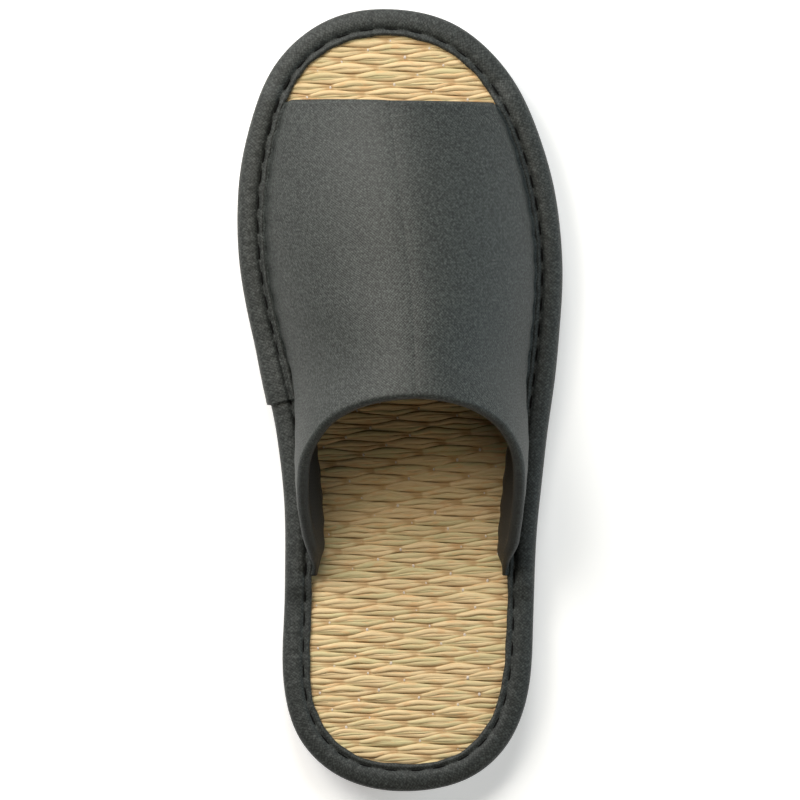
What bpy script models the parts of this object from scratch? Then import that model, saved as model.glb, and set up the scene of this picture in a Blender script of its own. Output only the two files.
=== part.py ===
"""Open-toe house slipper for the right foot: rush footbed, padded linen band, bound edge, plain sole.

+Z is up, +Y points to the toe and +X to the wearer's right. The origin is on the floor under the
middle of the sole. Sizes and tables are in millimetres, and skin_solid turns them into metres.
"""

from collections import namedtuple

import bmesh
import bpy
import numpy as np

for old in list(bpy.data.objects):
    bpy.data.objects.remove(old)

MM = 0.001
GAP = 0.3

# Levels of the stack, from the floor up
OUTSOLE_THICK = 5.0
TAPE_THICK = 1.1
BOARD_THICK = 5.0
FLANGE_THICK = 1.4
TAPE_LOW = OUTSOLE_THICK + GAP
BOARD_LOW = TAPE_LOW + TAPE_THICK + GAP
BOARD_TOP = BOARD_LOW + BOARD_THICK
FLANGE_LOW = BOARD_TOP + GAP
FLANGE_TOP = FLANGE_LOW + FLANGE_THICK
FLANGE_RISE = FLANGE_THICK + GAP

# Rocker of the sole: flat from the heel to the ball
TOE_SPRING = 5.0
TOE_SPRING_FROM = 70.0
HEEL_LIFT = 1.5
HEEL_LIFT_FROM = -108.0

# End of the tape, turned under and lapped over its start at the inner waist
LAP_ALONG = -1.7
LAP_LENGTH = 24.0
LAP_THICK = 1.3
LAP_STEP_TURN = 0.0004

# Wall of the upper, and the flange that the tape holds down
WALL_THICK = 4.2
FOOT_THICK = 3.7
WALL_FULL_SHARE = 0.22
FLARE_FULL_SHARE = 0.24
TAIL_TAPER = 10.0
SEAM_INSET = 9.9
SEAM_STAND = 1.9
FLANGE_INSET = 4.2
FLANGE_MARGIN = 3.0
FLANGE_FADE = 8.0
FRONT_ALONG = 101.2
FRONT_SLANT = 0.9

# Fineness of the faceted solids
EDGE_SAMPLES = 2401
STATIONS = 96
LENGTHWISE_STEPS = 30
ARCH_STEPS = 14
ARCH_SPREAD = 0.8
SEAM_ROWS = 2
HEM_TURNS = np.radians([70.0, 45.0, 22.0])

EdgePoint = namedtuple("EdgePoint", "place across along")
SOLE_EDGE = [
    EdgePoint("heel tip", 1.0, -135.0),
    EdgePoint("heel corner, outer", 24.8, -130.0),
    EdgePoint("heel side, outer", 38.1, -117.3),
    EdgePoint("seat, outer", 45.3, -92.5),
    EdgePoint("waist, outer", 46.6, -58.0),
    EdgePoint("shank, outer", 50.4, -16.0),
    EdgePoint("joint, outer", 55.2, 25.0),
    EdgePoint("ball, outer", 56.0, 52.0),
    EdgePoint("small toe", 50.8, 82.9),
    EdgePoint("toe side, outer", 39.0, 110.5),
    EdgePoint("toe corner, outer", 20.3, 128.6),
    EdgePoint("toe tip", -5.2, 135.0),
    EdgePoint("toe corner, inner", -28.5, 129.3),
    EdgePoint("big toe", -43.0, 116.0),
    EdgePoint("toe side, inner", -52.4, 93.2),
    EdgePoint("ball, inner", -56.3, 62.0),
    EdgePoint("joint, inner", -52.5, 28.5),
    EdgePoint("shank, inner", -44.6, -3.0),
    EdgePoint("waist, inner", -39.7, -45.0),
    EdgePoint("seat, inner", -40.5, -82.0),
    EdgePoint("heel side, inner", -35.0, -116.6),
    EdgePoint("heel corner, inner", -22.0, -129.6),
]

Ring = namedtuple("Ring", "place inset height")
OUTSOLE_RINGS = [
    Ring("tread edge", 4.2, 0.0),
    Ring("tread round", 3.0, 0.5),
    Ring("side foot", 2.6, 1.5),
    Ring("side top", 2.5, 4.2),
    Ring("top edge", 3.2, OUTSOLE_THICK),
]
BOARD_RINGS = [
    Ring("plug", 9.9, TAPE_LOW),
    Ring("plug shoulder", 9.9, BOARD_LOW),
    Ring("under edge", 4.6, BOARD_LOW),
    Ring("lower round", 2.7, BOARD_LOW + 0.9),
    Ring("side", 1.7, BOARD_LOW + 2.5),
    Ring("upper round", 2.7, BOARD_TOP - 0.9),
    Ring("top edge", 4.8, BOARD_TOP),
]

# The tape's inner face, the way its outer face looks in degrees above level, and its stitched groove
TapeFold = namedtuple("TapeFold", "place inset share crown facing groove")
TAPE_FOLDS = [
    TapeFold("lip edge", 9.6, 1.0, 0.0, 90.0, 0.25),
    TapeFold("lip", 8.5, 1.0, 0.0, 90.0, 0.05),
    TapeFold("stitch line", 7.2, 1.0, 0.0, 90.0, 0.5),
    TapeFold("stitch wall", 6.0, 1.0, 0.15, 88.0, 0.0),
    TapeFold("crest", 4.4, 1.0, 0.25, 80.0, 0.0),
    TapeFold("shoulder", 2.5, 1.0, -0.6, 48.0, 0.0),
    TapeFold("upper side", 1.45, 0.72, 0.0, 14.0, 0.0),
    TapeFold("side", 1.2, 0.45, 0.0, -4.0, 0.0),
    TapeFold("lower side", 1.9, 0.12, 0.0, -38.0, 0.0),
    TapeFold("tuck", 4.2, 0.0, 0.0, -90.0, 0.0),
    TapeFold("lower edge", 9.4, 0.0, 0.0, -90.0, 0.0),
]

# Arches of the upper's outer face: low fullness gives flat sides that meet in a soft ridge, as the
# folded band keeps them. Behind the throat only their lower parts are there, as upright wings.
Arch = namedtuple("Arch", "place along crown middle fullness inner_flare outer_flare")
UPPER_ARCHES = [
    Arch("front hem", 104.0, 39.0, -4.0, 1.45, 2.0, 2.2),
    Arch("toes", 70.0, 50.0, 0.0, 1.5, 0.6, 1.4),
    Arch("ball", 36.0, 57.0, 4.0, 1.6, 0.2, 1.4),
    Arch("instep", 2.0, 64.0, 5.5, 1.85, 2.2, 1.8),
    Arch("throat corner", -12.0, 64.0, 6.0, 2.5, 3.8, 3.6),
    Arch("wing", -25.0, 64.0, 6.0, 3.6, 5.2, 4.4),
    Arch("wing back", -37.0, 64.0, 6.0, 4.0, 5.2, 4.4),
    Arch("wing tail", -50.0, 64.0, 5.0, 4.0, 3.0, 3.4),
    Arch("wing end", -64.0, 64.0, 4.0, 4.0, 0.0, 0.0),
]

# The throat line, by its height as a share of the arch
ThroatPoint = namedtuple("ThroatPoint", "place share along")
THROAT_LINE = [
    ThroatPoint("wing end", 0.0, -60.0),
    ThroatPoint("tail", 0.18, -50.5),
    ThroatPoint("low wing", 0.32, -41.0),
    ThroatPoint("wing", 0.44, -31.0),
    ThroatPoint("high wing", 0.57, -18.5),
    ThroatPoint("corner", 0.695, -8.0),
    ThroatPoint("shoulder", 0.82, -2.4),
    ThroatPoint("crown side", 0.945, 1.2),
    ThroatPoint("crown", 1.0, 2.2),
]
WING_END = THROAT_LINE[0].along

Finish = namedtuple("Finish", "label colour roughness metallic")
FINISHES = {
    "outsole": Finish("sole sheet", (0.045, 0.043, 0.042, 1.0), 0.75, 0.0),
    "insole": Finish("woven rush", (0.62, 0.47, 0.22, 1.0), 0.6, 0.0),
    "upper": Finish("dark linen", (0.044, 0.046, 0.045, 1.0), 0.8, 0.0),
    "binding": Finish("dark linen tape", (0.032, 0.034, 0.033, 1.0), 0.8, 0.0),
}


def smoothstep(share):
    share = np.clip(share, 0.0, 1.0)
    return share * share * (3.0 - 2.0 * share)


def values_of(table, name):
    return np.array([getattr(row, name) for row in table])


def hermite(knots, values, slopes, at):
    """Cubic pieces through the values, with the given slopes at the knots."""
    piece = np.clip(np.searchsorted(knots, at, side="right") - 1, 0, len(knots) - 2)
    step = knots[piece + 1] - knots[piece]
    t = (at - knots[piece]) / step
    rise = values[piece + 1] - values[piece]
    start = slopes[piece] * step
    end = slopes[piece + 1] * step
    return values[piece] + t * (start + t * (3 * rise - 2 * start - end + t * (start + end - 2 * rise)))


def read_smoothly(table, name, key, at):
    """One column of a table, as a smooth function of its key column."""
    knots = values_of(table, key)
    order = np.argsort(knots)
    knots = knots[order]
    values = values_of(table, name)[order]
    return hermite(knots, values, np.gradient(values, knots), at)


def closed_curve(points, samples):
    """Samples of the curve through the points that turns evenly all the way round."""
    count = len(points)
    chords = np.roll(points, -1, axis=0) - points
    steps = np.linalg.norm(chords, axis=1)
    rises = chords / steps[:, None]
    system = np.zeros((count, count))
    right = np.zeros((count, 2))
    for i in range(count):
        before = i - 1
        system[i, before] = steps[i]
        system[i, i] = 2 * (steps[before] + steps[i])
        system[i, (i + 1) % count] = steps[before]
        right[i] = 3 * (steps[i] * rises[before] + steps[before] * rises[i])
    slopes = np.linalg.solve(system, right)
    knots = np.concatenate([[0.0], np.cumsum(steps)])
    around = np.linspace(0.0, knots[-1], samples)
    looped = np.vstack([points, points[:1]])
    slopes = np.vstack([slopes, slopes[:1]])
    return np.column_stack([hermite(knots, looped[:, k], slopes[:, k], around) for k in (0, 1)])


class Edge:
    """Edge of the sole. Turn 0 is the heel tip and 0.5 the toe tip, and the outer side comes first."""

    def __init__(self, table):
        points = np.column_stack([values_of(table, "across"), values_of(table, "along")])
        curve = closed_curve(points, EDGE_SAMPLES)
        curve -= (curve.max(axis=0) + curve.min(axis=0)) / 2
        way = np.concatenate([[0.0], np.cumsum(np.linalg.norm(np.diff(curve, axis=0), axis=1))])
        toe = int(np.argmax(curve[:, 1]))
        outer_turn = 0.5 * way / way[toe]
        inner_turn = 0.5 + 0.5 * (way - way[toe]) / (way[-1] - way[toe])
        self.turn = np.where(way <= way[toe], outer_turn, inner_turn)
        heading = np.gradient(curve, way, axis=0)
        heading /= np.linalg.norm(heading, axis=1)[:, None]
        self.inward = np.column_stack([-heading[:, 1], heading[:, 0]])
        self.curve = curve
        self.toe = toe
        self.toe_along = curve[toe, 1]

    def ring(self, turns, inset):
        """Across and along of the edge, moved inwards."""
        place = [np.interp(turns, self.turn, self.curve[:, k]) for k in (0, 1)]
        inward = [np.interp(turns, self.turn, self.inward[:, k]) for k in (0, 1)]
        return np.stack([place[k] + inset * inward[k] for k in (0, 1)], axis=-1)

    def across(self, along, inset, inner):
        """Across of the inset edge on one side, at places along the sole."""
        moved = self.curve + inset * self.inward
        moved = moved[self.toe :][::-1] if inner else moved[: self.toe + 1]
        return np.interp(along, moved[:, 1], moved[:, 0])

    def inner_turn(self, along):
        """Turn of a place on the inner side."""
        return float(np.interp(-along, -self.curve[self.toe :, 1], self.turn[self.toe :]))


EDGE = Edge(SOLE_EDGE)
TURNS = (np.arange(STATIONS) + 0.5) / STATIONS
SLIPPER = bpy.data.collections.new("rush slipper")
bpy.context.scene.collection.children.link(SLIPPER)


def lift(along):
    """Height of the sole's rocker."""
    toe = (along - TOE_SPRING_FROM) / (EDGE.toe_along - TOE_SPRING_FROM)
    heel = (HEEL_LIFT_FROM - along) / (HEEL_LIFT_FROM + EDGE.toe_along)
    return TOE_SPRING * np.clip(toe, 0.0, 1.0) ** 2 + HEEL_LIFT * np.clip(heel, 0.0, 1.0) ** 2


def skin_solid(name, loops, capped):
    """A skin over a row of loops. Rungs across the first and last loop close it, or else it joins up."""
    rows, size = loops.shape[:2]
    work = bmesh.new()
    grid = [[work.verts.new(point * MM) for point in loop] for loop in loops]
    for r in range(rows - 1 if capped else rows):
        near = grid[r]
        far = grid[(r + 1) % rows]
        for c in range(size):
            following = (c + 1) % size
            work.faces.new((near[c], near[following], far[following], far[c]))
    for loop in (grid[0], grid[-1]) if capped else ():
        for c in range(size // 2 - 1):
            work.faces.new((loop[c], loop[c + 1], loop[size - 2 - c], loop[size - 1 - c]))
    bmesh.ops.recalc_face_normals(work, faces=work.faces)
    mesh = bpy.data.meshes.new(name)
    work.to_mesh(mesh)
    work.free()
    mesh.shade_smooth()
    mesh.materials.append(material_of(FINISHES[name]))
    SLIPPER.objects.link(bpy.data.objects.new(name, mesh))


def material_of(finish):
    material = bpy.data.materials.new(finish.label)
    material.use_nodes = True
    shader = material.node_tree.nodes["Principled BSDF"]
    shader.inputs["Base Color"].default_value = finish.colour
    shader.inputs["Roughness"].default_value = finish.roughness
    shader.inputs["Metallic"].default_value = finish.metallic
    return material


def sole_layer(name, rings):
    """A layer of the sole, from the rings round its edge."""
    loops = []
    for ring in rings:
        place = EDGE.ring(TURNS, ring.inset)
        loops.append(np.column_stack([place, ring.height + lift(place[:, 1])]))
    skin_solid(name, np.array(loops), capped=True)


def flange_share(along):
    """1 where the upper's flange lies under the tape, fading to 0 past its ends."""
    front = (FRONT_ALONG + FLANGE_MARGIN + FLANGE_FADE - along) / FLANGE_FADE
    back = (along - WING_END + FLANGE_MARGIN + FLANGE_FADE) / FLANGE_FADE
    return smoothstep(front) * smoothstep(back)


def binding():
    """The tape: a folded section carried round the edge, thicker where its end laps over its start."""
    lap_end = EDGE.inner_turn(LAP_ALONG)
    lap_start = EDGE.inner_turn(LAP_ALONG + LAP_LENGTH)
    turns = np.sort(np.append(TURNS, [lap_end - LAP_STEP_TURN, lap_end + LAP_STEP_TURN]))
    inset, share, crown, groove = (
        values_of(TAPE_FOLDS, name) for name in ("inset", "share", "crown", "groove")
    )
    facing = np.radians(values_of(TAPE_FOLDS, "facing"))
    outward = np.column_stack([-np.cos(facing), np.sin(facing)])
    low = TAPE_LOW + TAPE_THICK
    loops = []
    for turn in turns:
        along = EDGE.ring(turn, TAPE_THICK)[1]
        top = BOARD_TOP + GAP + FLANGE_RISE * flange_share(along)
        inner = np.column_stack([inset, low + share * (top - low) + crown])
        lapped = smoothstep((turn - lap_start) / (lap_end - lap_start)) if turn < lap_end else 0.0
        thick = TAPE_THICK - groove + LAP_THICK * lapped * np.clip(2 * share, 0.0, 1.0)
        section = np.concatenate([inner + thick[:, None] * outward, inner[::-1]])
        place = EDGE.ring(np.full(len(section), turn), section[:, 0])
        loops.append(np.column_stack([place, section[:, 1] + lift(place[:, 1])]))
    skin_solid("binding", np.array(loops), capped=False)


def arch_side(along, shares, inner):
    """Across and height of one side of the arches, by share of the way from the seam to the crown."""
    crown, middle, fullness, flare = (
        read_smoothly(UPPER_ARCHES, name, "along", along)
        for name in ("crown", "middle", "fullness", "inner_flare" if inner else "outer_flare")
    )
    seam = EDGE.across(along, SEAM_INSET, inner)
    half = seam - middle + np.sign(seam) * flare * smoothstep(shares / FLARE_FULL_SHARE)
    reach = (1.0 - shares**fullness) ** (1.0 / fullness)
    base = FLANGE_TOP + SEAM_STAND + lift(along)
    return np.column_stack([middle + half * reach, base + shares * (crown - base)])


def flange_point(along, inset, height, inner):
    return EDGE.across(along, inset, inner), height + lift(along)


def upper():
    """The padded band. Its outer and inner faces share a grid from the front hem to the throat hem."""
    rise = np.sin(np.linspace(0.0, np.pi / 2, ARCH_STEPS + 1)) ** ARCH_SPREAD
    flange = np.zeros(SEAM_ROWS)
    shares = np.concatenate([flange, rise, rise[-2::-1], flange])
    on_inner = np.arange(len(shares)) <= SEAM_ROWS + ARCH_STEPS
    wall = slice(SEAM_ROWS, -SEAM_ROWS)
    front = FRONT_ALONG - FRONT_SLANT * smoothstep(np.linspace(0.0, 1.0, len(shares)))
    back = read_smoothly(THROAT_LINE, "along", "share", shares)
    full = FOOT_THICK + (WALL_THICK - FOOT_THICK) * smoothstep(shares / WALL_FULL_SHARE)
    rows = []
    for run in np.linspace(0.0, 1.0, LENGTHWISE_STEPS + 1):
        along = front + run * (back - front)
        thick = FLANGE_THICK + (full - FLANGE_THICK) * smoothstep((along - WING_END) / TAIL_TAPER)
        outer = np.where(on_inner[:, None], arch_side(along, shares, True), arch_side(along, shares, False))
        slope = np.gradient(outer[wall], axis=0)
        slope /= np.linalg.norm(slope, axis=1)[:, None]
        lining = outer.copy()
        lining[wall] -= thick[wall, None] * np.column_stack([-slope[:, 1], slope[:, 0]])
        for inner, tip, foot in ((True, 0, 1), (False, -1, -2)):
            outer[tip] = flange_point(along[tip], FLANGE_INSET, FLANGE_TOP, inner)
            lining[tip] = flange_point(along[tip], FLANGE_INSET, FLANGE_LOW, inner)
            outer[foot] = flange_point(along[foot], SEAM_INSET, FLANGE_TOP, inner)
            lining[foot] = flange_point(along[foot], SEAM_INSET + thick[foot], FLANGE_LOW, inner)
        rows.append([np.insert(face, 1, along, axis=1) for face in (outer, lining)])
    rows = hem(rows[0], rows[1]) + rows + hem(rows[-1], rows[-2])[::-1]
    loops = np.array([np.concatenate([outer, lining[::-1]]) for outer, lining in rows])
    skin_solid("upper", loops, capped=True)


def hem(edge, next_row):
    """Rows of a rounded edge, from its nose back to the wall."""
    middle = (edge[0] + edge[1]) / 2
    half = (edge[0] - edge[1]) / 2
    nose = np.cross(np.gradient(middle, axis=0), half)
    nose *= np.linalg.norm(half, axis=1)[:, None] / np.linalg.norm(nose, axis=1)[:, None]
    away = middle - (next_row[0] + next_row[1]) / 2
    nose *= np.sign(np.sum(nose * away, axis=1))[:, None]
    noses = [middle + np.sin(turn) * nose for turn in HEM_TURNS]
    return [
        [tip + np.cos(turn) * half, tip - np.cos(turn) * half] for tip, turn in zip(noses, HEM_TURNS)
    ]


sole_layer("outsole", OUTSOLE_RINGS)
sole_layer("insole", BOARD_RINGS)
upper()
binding()
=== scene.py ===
# %% [markdown]
# # An open-toe slipper of rush and linen
# The slipper has a footbed woven from rush, a padded linen band over the instep, a linen tape bound
# round the edge and a thin foam sole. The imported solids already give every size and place. They are
# loaded first, so that each new piece can be modelled straight into the same frame.

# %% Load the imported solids
from collections import namedtuple

import bmesh
import bpy
import numpy as np
from mathutils import Matrix, Vector


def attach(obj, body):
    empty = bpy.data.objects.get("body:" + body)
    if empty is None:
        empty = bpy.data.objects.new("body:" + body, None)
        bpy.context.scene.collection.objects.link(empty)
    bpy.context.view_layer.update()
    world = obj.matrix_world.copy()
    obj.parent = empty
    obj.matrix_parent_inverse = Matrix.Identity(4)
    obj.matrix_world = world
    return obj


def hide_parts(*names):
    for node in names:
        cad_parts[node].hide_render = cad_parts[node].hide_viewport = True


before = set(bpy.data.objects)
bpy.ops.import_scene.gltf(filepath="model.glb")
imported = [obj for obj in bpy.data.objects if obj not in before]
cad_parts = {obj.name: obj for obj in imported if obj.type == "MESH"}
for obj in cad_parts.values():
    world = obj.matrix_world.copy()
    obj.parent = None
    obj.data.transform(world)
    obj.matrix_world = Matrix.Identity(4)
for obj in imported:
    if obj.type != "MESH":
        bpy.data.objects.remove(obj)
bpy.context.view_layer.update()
MM = 0.001

# %% [markdown]
# ## Camera
# The photograph looks straight down, with the toe at the top, and the slipper almost fills its height.
# A camera close by would show the high instep too large, so a long lens far above is used, which keeps
# the outline nearly the same at every height.

# %% Camera straight above
IMAGE_SPAN = 0.276
CAMERA_HEIGHT = 3.0
SIGHT_LEVEL = 0.012
SENSOR = 36.0

camera_data = bpy.data.cameras.new("overhead_camera")
camera_data.sensor_width = SENSOR
camera_data.lens = SENSOR * (CAMERA_HEIGHT - SIGHT_LEVEL) / IMAGE_SPAN
camera = bpy.data.objects.new("overhead_camera", camera_data)
camera.location = (0.0, 0.0, CAMERA_HEIGHT)
bpy.context.scene.collection.objects.link(camera)
bpy.context.scene.camera = camera
print("lens in mm:", round(camera_data.lens, 1))

# %% [markdown]
# ## Shader helpers
# Each finish below is a small graph of nodes. A few helpers keep those graphs short to write: they add a
# Math node, a noise or a blend of two colours, and take sockets or plain values. The plainest finishes,
# such as paper or thread, are one colour that wavers in a fine grain, so a last helper makes those whole.

# %% Node helpers
def feed(tree, socket, term):
    """Give a socket a plain value, or a link from another node."""
    if isinstance(term, bpy.types.NodeSocket):
        tree.links.new(term, socket)
    else:
        socket.default_value = term


def calc(tree, operation, *terms):
    """A Math node, by the name of its operation."""
    node = tree.nodes.new("ShaderNodeMath")
    node.operation = operation
    for socket, term in zip(node.inputs, terms):
        feed(tree, socket, term)
    return node.outputs["Value"]


def noise(tree, vector, scale, detail=2.0, roughness=0.5):
    """A noise of about 0 to 1, at places along a vector."""
    node = tree.nodes.new("ShaderNodeTexNoise")
    tree.links.new(vector, node.inputs["Vector"])
    node.inputs["Scale"].default_value = scale
    node.inputs["Detail"].default_value = detail
    node.inputs["Roughness"].default_value = roughness
    return node.outputs["Fac"]


def joined(tree, x, y, z=0.0):
    """A vector from three sockets or numbers."""
    node = tree.nodes.new("ShaderNodeCombineXYZ")
    for socket, term in zip(node.inputs, (x, y, z)):
        feed(tree, socket, term)
    return node.outputs["Vector"]


def blend_colour(tree, share, first, second):
    """A mix of two colours, sockets or red, green and blue, by a share of 0 to 1."""
    node = tree.nodes.new("ShaderNodeMix")
    node.data_type = "RGBA"
    sockets = {socket.identifier: socket for socket in node.inputs}
    feed(tree, sockets["Factor_Float"], share)
    for name, colour in (("A_Color", first), ("B_Color", second)):
        feed(tree, sockets[name], (*colour, 1.0) if isinstance(colour, tuple) else colour)
    return next(socket for socket in node.outputs if socket.identifier == "Result_Color")


def spread(tree, value, low, high):
    """A value stretched so that low to high becomes 0 to 1, and cut off there."""
    node = tree.nodes.new("ShaderNodeMapRange")
    node.interpolation_type = "SMOOTHSTEP"
    tree.links.new(value, node.inputs["Value"])
    node.inputs["From Min"].default_value = low
    node.inputs["From Max"].default_value = high
    return node.outputs["Result"]


print("node helpers ready")


# %% Finish helpers
def new_finish(name, roughness):
    """A material with a Principled shader, and its node tree."""
    material = bpy.data.materials.new(name)
    material.use_nodes = True
    shader = material.node_tree.nodes["Principled BSDF"]
    shader.inputs["Roughness"].default_value = roughness
    return material, material.node_tree, shader


def raise_bumps(tree, shader, height, distance, strength):
    """Let a height pattern turn the shader's normal."""
    node = tree.nodes.new("ShaderNodeBump")
    node.inputs["Strength"].default_value = strength
    node.inputs["Distance"].default_value = distance
    tree.links.new(height, node.inputs["Height"])
    tree.links.new(node.outputs["Normal"], shader.inputs["Normal"])


def grained_finish(name, roughness, grain_scale, dark, light):
    """A finish of one colour that wavers between two shades, and its shader."""
    material, tree, shader = new_finish(name, roughness)
    place = tree.nodes.new("ShaderNodeTexCoord").outputs["Object"]
    shade = blend_colour(tree, noise(tree, place, grain_scale), dark, light)
    tree.links.new(shade, shader.inputs["Base Color"])
    return material, shader


print("finish helpers ready")

# %% [markdown]
# ## Floor and light
# The picture has a plain white ground and soft light, mostly from beyond the toe on the left. A large
# area light far off on that side is the key, and a small one close by draws the shadow inside the
# throat. A third evens out the toe, a weak one opens up the throat from the heel, and a cool fill lights
# the right flank. The paper glows a little, because a lit studio ground is whiter than any painted one
# and throws light onto the low sides. The ground is a flat grid just under the sole, so that the slipper
# stands on it in every view.

# %% Lights and world
LIGHT_TARGET = Vector((0.0, 0.0, 0.02))
WORLD_GLOW = 0.02

Lamp = namedtuple("Lamp", "name place size watts colour")
LAMPS = [
    Lamp("key_light", (-0.90, 0.90, 0.82), (0.75, 1.35), 19.5, (1.0, 1.0, 1.0)),
    Lamp("near_light", (-0.15, 0.17, 0.35), (0.22, 0.22), 0.60, (1.0, 0.90, 0.72)),
    Lamp("toe_light", (0.0, 1.1, 1.03), (0.5, 0.5), 9.0, (1.0, 1.0, 0.98)),
    Lamp("heel_light", (0.40, -0.68, 0.60), (0.5, 0.5), 1.0, (1.0, 0.86, 0.64)),
    Lamp("fill_light", (0.93, 0.10, 0.36), (0.5, 0.5), 3.1, (0.75, 0.92, 1.0)),
]


def soft_light(lamp):
    """An area light of a width and a height that looks at the slipper."""
    data = bpy.data.lights.new(lamp.name, "AREA")
    data.shape = "RECTANGLE"
    data.size, data.size_y = lamp.size
    data.energy = lamp.watts
    data.color = lamp.colour
    light = bpy.data.objects.new(lamp.name, data)
    light.location = lamp.place
    light.rotation_euler = (LIGHT_TARGET - Vector(lamp.place)).to_track_quat("-Z", "Y").to_euler()
    bpy.context.scene.collection.objects.link(light)


for lamp in LAMPS:
    soft_light(lamp)

world = bpy.data.worlds.new("studio")
world.use_nodes = True
world.node_tree.nodes["Background"].inputs["Color"].default_value = (0.95, 0.97, 1.0, 1.0)
world.node_tree.nodes["Background"].inputs["Strength"].default_value = WORLD_GLOW
bpy.context.scene.world = world
bpy.context.scene.view_settings.view_transform = "Standard"
print("lights:", [lamp.name for lamp in LAMPS])

# %% Floor
FLOOR_HALF = 3.0
FLOOR_CELLS = 8
FLOOR_DROP = 0.0001
PAPER_GLOW = 0.38

ground = bmesh.new()
bmesh.ops.create_grid(ground, x_segments=FLOOR_CELLS, y_segments=FLOOR_CELLS, size=FLOOR_HALF)
bmesh.ops.translate(ground, verts=ground.verts, vec=(0.0, 0.0, -FLOOR_DROP))
floor_mesh = bpy.data.meshes.new("floor")
ground.to_mesh(floor_mesh)
ground.free()
floor = bpy.data.objects.new("floor", floor_mesh)
bpy.context.scene.collection.objects.link(floor)
paper, paper_shader = grained_finish(
    "white_paper", roughness=0.9, grain_scale=900.0, dark=(0.90, 0.90, 0.90), light=(0.94, 0.94, 0.94)
)
paper_shader.inputs["Emission Color"].default_value = (1.0, 1.0, 1.0, 1.0)
paper_shader.inputs["Emission Strength"].default_value = PAPER_GLOW
floor_mesh.materials.append(paper)
print("floor half width in m:", FLOOR_HALF)

# %% [markdown]
# ## The sole's edge
# Every layer of the slipper follows one outline: a right sole, hollow at the inner waist. A shoemaker
# would cut it round a pattern. Here the pattern is a ring of named points, in millimetres, with a smooth
# curve through them. A place on it is named by its turn: 0 at the heel tip, 0.5 at the toe tip, the outer
# side first. An inset moves the place inwards, square to the edge.

# %% Outline of the sole
EDGE_SAMPLES = 4801

EdgePoint = namedtuple("EdgePoint", "place across along")
SOLE_EDGE = [
    EdgePoint("heel tip", 1.0, -135.0),
    EdgePoint("heel corner, outer", 24.8, -130.0),
    EdgePoint("heel side, outer", 38.1, -117.3),
    EdgePoint("seat, outer", 45.3, -92.5),
    EdgePoint("waist, outer", 46.6, -58.0),
    EdgePoint("shank, outer", 50.4, -16.0),
    EdgePoint("joint, outer", 55.2, 25.0),
    EdgePoint("ball, outer", 56.0, 52.0),
    EdgePoint("small toe", 50.8, 82.9),
    EdgePoint("toe side, outer", 39.0, 110.5),
    EdgePoint("toe corner, outer", 20.3, 128.6),
    EdgePoint("toe tip", -5.2, 135.0),
    EdgePoint("toe corner, inner", -28.5, 129.3),
    EdgePoint("big toe", -43.0, 116.0),
    EdgePoint("toe side, inner", -52.4, 93.2),
    EdgePoint("ball, inner", -56.3, 62.0),
    EdgePoint("joint, inner", -52.5, 28.5),
    EdgePoint("shank, inner", -44.6, -3.0),
    EdgePoint("waist, inner", -39.7, -45.0),
    EdgePoint("seat, inner", -40.5, -82.0),
    EdgePoint("heel side, inner", -35.0, -116.6),
    EdgePoint("heel corner, inner", -22.0, -129.6),
]


def column_of(table, name):
    """One column of a table of named rows."""
    return np.array([getattr(row, name) for row in table])


def hermite(knots, values, slopes, at):
    """Cubic pieces through the values, with the given slopes at the knots."""
    piece = np.clip(np.searchsorted(knots, at, side="right") - 1, 0, len(knots) - 2)
    step = knots[piece + 1] - knots[piece]
    t = (at - knots[piece]) / step
    rise = values[piece + 1] - values[piece]
    start = slopes[piece] * step
    end = slopes[piece + 1] * step
    return values[piece] + t * (start + t * (3 * rise - 2 * start - end + t * (start + end - 2 * rise)))


def closed_curve(points, samples):
    """Samples of the curve through the points that turns evenly all the way round."""
    count = len(points)
    chords = np.roll(points, -1, axis=0) - points
    steps = np.linalg.norm(chords, axis=1)
    rises = chords / steps[:, None]
    system = np.zeros((count, count))
    right = np.zeros((count, 2))
    for i in range(count):
        before = i - 1
        system[i, before] = steps[i]
        system[i, i] = 2 * (steps[before] + steps[i])
        system[i, (i + 1) % count] = steps[before]
        right[i] = 3 * (steps[i] * rises[before] + steps[before] * rises[i])
    slopes = np.linalg.solve(system, right)
    knots = np.concatenate([[0.0], np.cumsum(steps)])
    around = np.linspace(0.0, knots[-1], samples)
    looped = np.vstack([points, points[:1]])
    slopes = np.vstack([slopes, slopes[:1]])
    return np.column_stack([hermite(knots, looped[:, k], slopes[:, k], around) for k in (0, 1)])


edge_points = np.column_stack([column_of(SOLE_EDGE, name) for name in ("across", "along")])
curve = closed_curve(edge_points, EDGE_SAMPLES)
curve -= (curve.max(axis=0) + curve.min(axis=0)) / 2
edge_way = np.concatenate([[0.0], np.cumsum(np.linalg.norm(np.diff(curve, axis=0), axis=1))])
toe = int(np.argmax(curve[:, 1]))
toe_along = curve[toe, 1]
edge_turn = np.where(
    edge_way <= edge_way[toe],
    0.5 * edge_way / edge_way[toe],
    0.5 + 0.5 * (edge_way - edge_way[toe]) / (edge_way[-1] - edge_way[toe]),
)
heading = np.gradient(curve, edge_way, axis=0)
heading /= np.linalg.norm(heading, axis=1)[:, None]
inward = np.column_stack([-heading[:, 1], heading[:, 0]])
print("edge length in mm:", round(edge_way[-1], 1), "toe at", round(toe_along, 1))

# %% Reading places off the outline
def edge_at(turns, inset):
    """Across and along of the edge, moved inwards."""
    spot = [np.interp(turns, edge_turn, curve[:, k]) for k in (0, 1)]
    way_in = [np.interp(turns, edge_turn, inward[:, k]) for k in (0, 1)]
    return np.stack([spot[k] + inset * way_in[k] for k in (0, 1)], axis=-1)


def across_at(along, inset, inner):
    """Across of the inset edge on one side, at places along the sole."""
    moved = curve + inset * inward
    moved = moved[toe:][::-1] if inner else moved[: toe + 1]
    return np.interp(along, moved[:, 1], moved[:, 0])


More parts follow.
